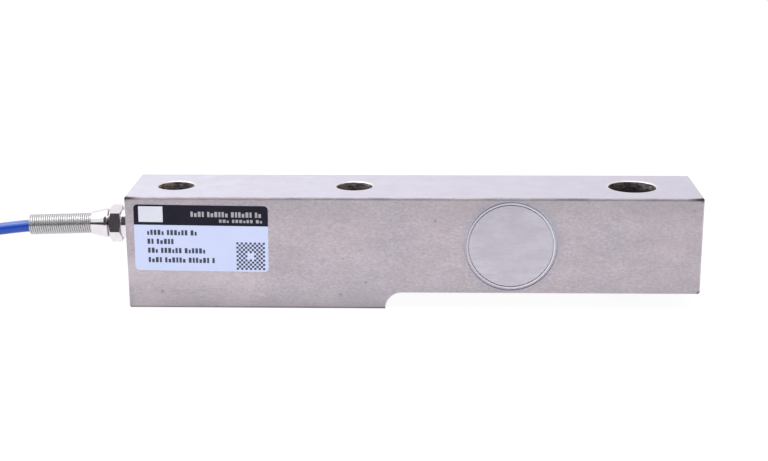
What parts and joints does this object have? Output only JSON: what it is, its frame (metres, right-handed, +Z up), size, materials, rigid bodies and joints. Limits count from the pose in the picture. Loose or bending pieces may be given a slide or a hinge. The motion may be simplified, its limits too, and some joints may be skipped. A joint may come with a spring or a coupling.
{
  "type": "weighing load cell",
  "caption": "Single-ended shear beam load cell: stepped steel bar with bolt holes, welded gauge pocket covers, cable gland, spring strain relief and cable.",
  "frame": {"origin": "midway between the two mounting holes, on the underside of the thick end", "axes": "+X along the beam towards the load hole, +Y to the side away from the label, +Z up"},
  "size_m": [0.4088, 0.0408, 0.041],
  "materials": {
    "bead_blasted_steel": "fine matt machined steel",
    "brushed_steel": "fine straight brushing",
    "gauge_film": "amber polyimide film",
    "gauge_foil": "etched foil",
    "terminal_board": "glass fibre strip",
    "circuit_board": "solder mask",
    "resistor_body": "moulded",
    "nickel_resistor": "wound bobbin",
    "solder": "bright tin",
    "enamelled_wire": "enamelled copper",
    "plated_metal": "bright nickel plate",
    "seal_rubber": "matt black rubber",
    "spring_wire": "drawn stainless wire",
    "cable_jacket": "smooth blue jacket",
    "tie_fabric": "woven hook and loop strap",
    "label_film": "printed film",
    "red_insulation": "satin",
    "black_insulation": "satin",
    "green_insulation": "satin",
    "white_insulation": "satin",
    "braid_wire": "tinned braid"
  },
  "bodies": {
    "root": {"beam_body": "bead_blasted_steel", "board_solder_joints": "solder", "cable_coil": "cable_jacket", "cable_seal": "seal_rubber", "cable_tail": "cable_jacket", "cable_tube": "cable_jacket", "coil_tie": "tie_fabric", "compensation_board": "circuit_board", "front_gauge_film": "gauge_film", "front_gauge_foil": "gauge_foil", "front_gauge_wires": "enamelled_wire", "front_pocket_cover": "brushed_steel", "front_terminal_strip": "terminal_board", "gland_body": "plated_metal", "gland_cap": "plated_metal", "gland_collar": "plated_metal", "inner_core_black": "black_insulation", "inner_core_green": "green_insulation", "inner_core_red": "red_insulation", "inner_core_white": "white_insulation", "lead_black": "black_insulation", "lead_green": "green_insulation", "lead_red": "red_insulation", "lead_shield": "braid_wire", "lead_white": "white_insulation", "name_label": "label_film", "pressure_ring": "plated_metal", "rear_gauge_film": "gauge_film", "rear_gauge_foil": "gauge_foil", "rear_gauge_wires": "enamelled_wire", "rear_pocket_cover": "brushed_steel", "rear_terminal_strip": "terminal_board", "span_trim_resistors": "resistor_body", "strain_relief_spring": "spring_wire", "temperature_resistors": "nickel_resistor", "zero_trim_resistor": "resistor_body"}
  },
  "joints": []
}
